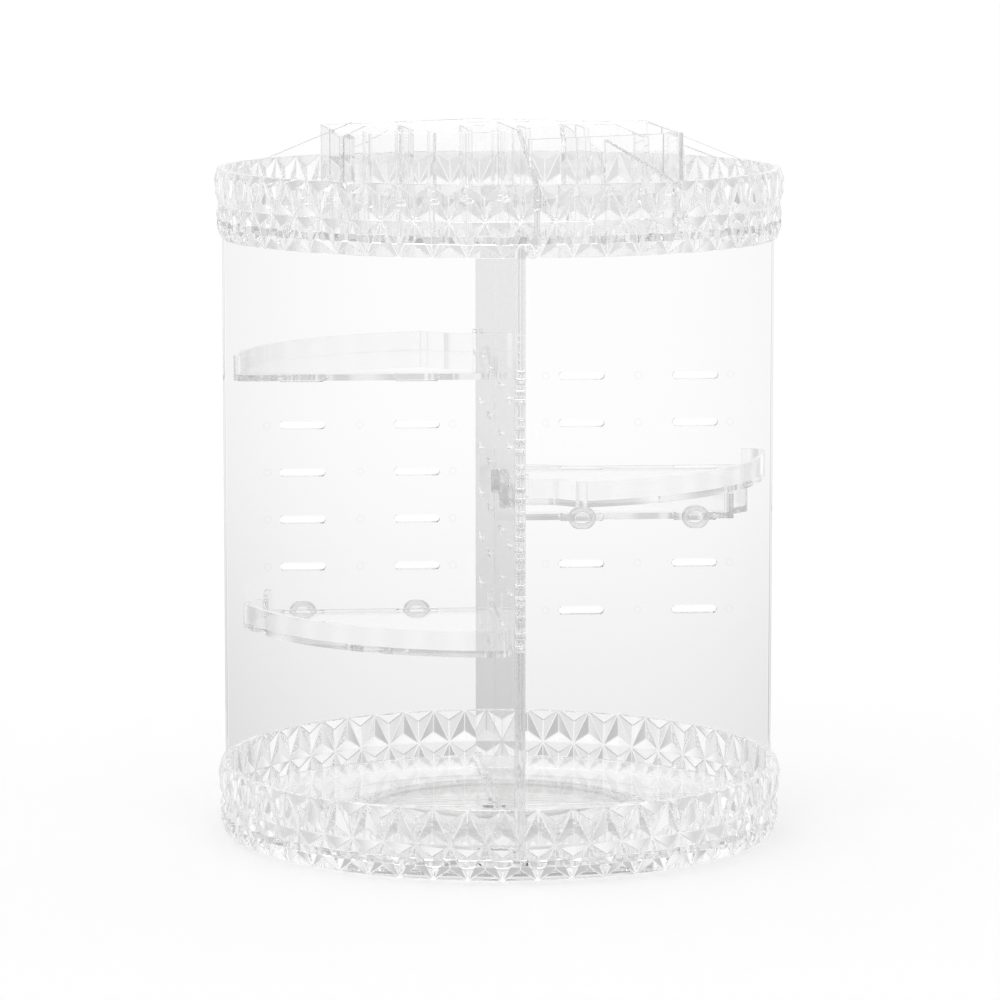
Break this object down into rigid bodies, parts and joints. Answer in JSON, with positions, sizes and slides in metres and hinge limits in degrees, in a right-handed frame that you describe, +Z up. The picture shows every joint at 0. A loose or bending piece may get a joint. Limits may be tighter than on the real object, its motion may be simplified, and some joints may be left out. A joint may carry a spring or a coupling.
{
  "type": "rotating makeup organizer",
  "caption": "Clear tabletop carousel for cosmetics: diamond-cut round base and top trays on crossed slotted panels, with hook-in fan trays, turning on a ball race.",
  "frame": {"origin": "on the table under the middle of the turntable", "axes": "+Z up along the turning axis, +X along the wide panel, -Y towards the front of the organizer"},
  "size_m": [0.2302, 0.2302, 0.2905],
  "materials": {
    "clear_plastic": "clear polished moulding",
    "soft_ring": "translucent silicone",
    "foot_rubber": "matt translucent grey",
    "cage_plastic": "plain white moulding",
    "ball_steel": "polished balls",
    "screw_steel": "zinc-plated"
  },
  "bodies": {
    "foot": {"foot_disc": "clear_plastic", "foot_pads": "foot_rubber"},
    "race": {"ball_cage": "cage_plastic", "race_balls": "ball_steel"},
    "carousel": {"base_tray": "clear_plastic", "wide_panel": "clear_plastic", "cross_panel": "clear_plastic", "top_tray": "clear_plastic", "long_divider": "clear_plastic", "front_divider": "clear_plastic", "front_well": "clear_plastic", "rear_well": "clear_plastic", "lipstick_rack": "clear_plastic", "pencil_rack": "clear_plastic", "slanted_dividers": "clear_plastic", "pivot_washer": "screw_steel", "pivot_screw": "screw_steel"},
    "tray_front_left": {"front_left_tray": "clear_plastic"},
    "rings_front_left": {"front_left_rings": "soft_ring"},
    "tray_front_right": {"front_right_tray": "clear_plastic"},
    "rings_front_right": {"front_right_rings": "soft_ring"},
    "tray_rear_right": {"rear_right_tray": "clear_plastic"},
    "rings_rear_right": {"rear_right_rings": "soft_ring"},
    "tray_rear_left": {"rear_left_tray": "clear_plastic"},
    "rings_rear_left": {"rear_left_rings": "soft_ring"}
  },
  "joints": [
    {"name": "carousel_turn", "type": "hinge", "parent": "foot", "child": "carousel", "pos_m": [0, 0, 0], "axis": [0, 0, 1], "continuous": true},
    {"name": "race_turn", "type": "hinge", "parent": "foot", "child": "race", "pos_m": [0, 0, 0], "axis": [0, 0, 1], "continuous": true},
    {"name": "front_left_unhook", "type": "slide", "parent": "carousel", "child": "tray_front_left", "axis": [0, -1, 0], "range_m": [0, 0.012]},
    {"name": "front_left_rings_off", "type": "slide", "parent": "carousel", "child": "rings_front_left", "axis": [0, 1, 0], "range_m": [0, 0.012]},
    {"name": "front_right_unhook", "type": "slide", "parent": "carousel", "child": "tray_front_right", "axis": [1, 0, 0], "range_m": [0, 0.012]},
    {"name": "front_right_rings_off", "type": "slide", "parent": "carousel", "child": "rings_front_right", "axis": [-1, 0, 0], "range_m": [0, 0.012]},
    {"name": "rear_right_unhook", "type": "slide", "parent": "carousel", "child": "tray_rear_right", "axis": [0, 1, 0], "range_m": [0, 0.012]},
    {"name": "rear_right_rings_off", "type": "slide", "parent": "carousel", "child": "rings_rear_right", "axis": [0, -1, 0], "range_m": [0, 0.012]},
    {"name": "rear_left_unhook", "type": "slide", "parent": "carousel", "child": "tray_rear_left", "axis": [-1, 0, 0], "range_m": [0, 0.012]},
    {"name": "rear_left_rings_off", "type": "slide", "parent": "carousel", "child": "rings_rear_left", "axis": [1, 0, 0], "range_m": [0, 0.012]}
  ],
  "couplings": [
    {"joint": "race_turn", "follows": "carousel_turn", "ratio": 0.5},
    {"joint": "front_left_rings_off", "follows": "front_left_unhook", "ratio": 1},
    {"joint": "front_right_rings_off", "follows": "front_right_unhook", "ratio": 1},
    {"joint": "rear_right_rings_off", "follows": "rear_right_unhook", "ratio": 1},
    {"joint": "rear_left_rings_off", "follows": "rear_left_unhook", "ratio": 1}
  ]
}
